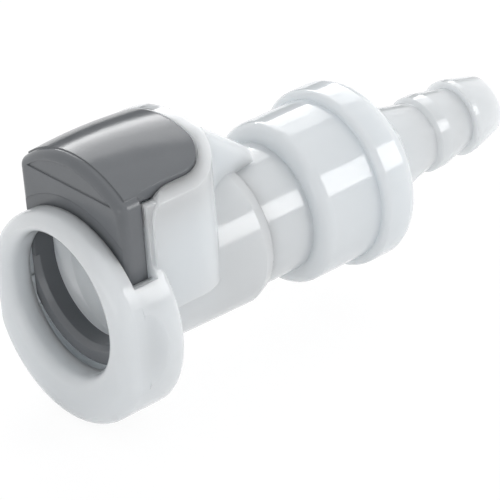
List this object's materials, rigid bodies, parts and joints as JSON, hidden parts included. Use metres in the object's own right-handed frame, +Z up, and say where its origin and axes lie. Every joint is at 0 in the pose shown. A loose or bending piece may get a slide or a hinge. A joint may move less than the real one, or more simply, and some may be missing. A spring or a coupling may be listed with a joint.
{
  "type": "quick disconnect coupling body",
  "caption": "Plastic quick disconnect coupling body with a domed thumb latch, an internal shut-off valve and a hose barb tail.",
  "frame": {"origin": "centre of the mouth, on the front face of the collar, on the flow axis", "axes": "+X along the flow axis from the mouth to the hose barb, +Z up through the thumb pad"},
  "size_m": [0.0773, 0.03, 0.0381],
  "materials": {
    "natural_white_plastic": "satin",
    "grey_plastic": "satin",
    "spring_steel": "bright",
    "seal_rubber": "matte",
    "valve_plastic": "satin"
  },
  "bodies": {
    "housing": {"main_housing": "natural_white_plastic", "hose_barb_end": "natural_white_plastic", "joint_seal": "seal_rubber"},
    "latch": {"thumb_latch": "grey_plastic", "latch_spring": "spring_steel"},
    "poppet": {"valve_poppet": "valve_plastic", "poppet_seal": "seal_rubber", "valve_spring": "spring_steel"}
  },
  "joints": [
    {"name": "latch_press", "type": "slide", "parent": "housing", "child": "latch", "axis": [0, 0, -1], "range_m": [0, 0.0023], "stiffness_N_per_m": 2500, "springref_m": -0.0012, "deforming": ["latch_spring"]},
    {"name": "valve_open", "type": "slide", "parent": "housing", "child": "poppet", "axis": [1, 0, 0], "range_m": [0, 0.003], "stiffness_N_per_m": 900, "springref_m": -0.002, "deforming": ["valve_spring"]}
  ]
}
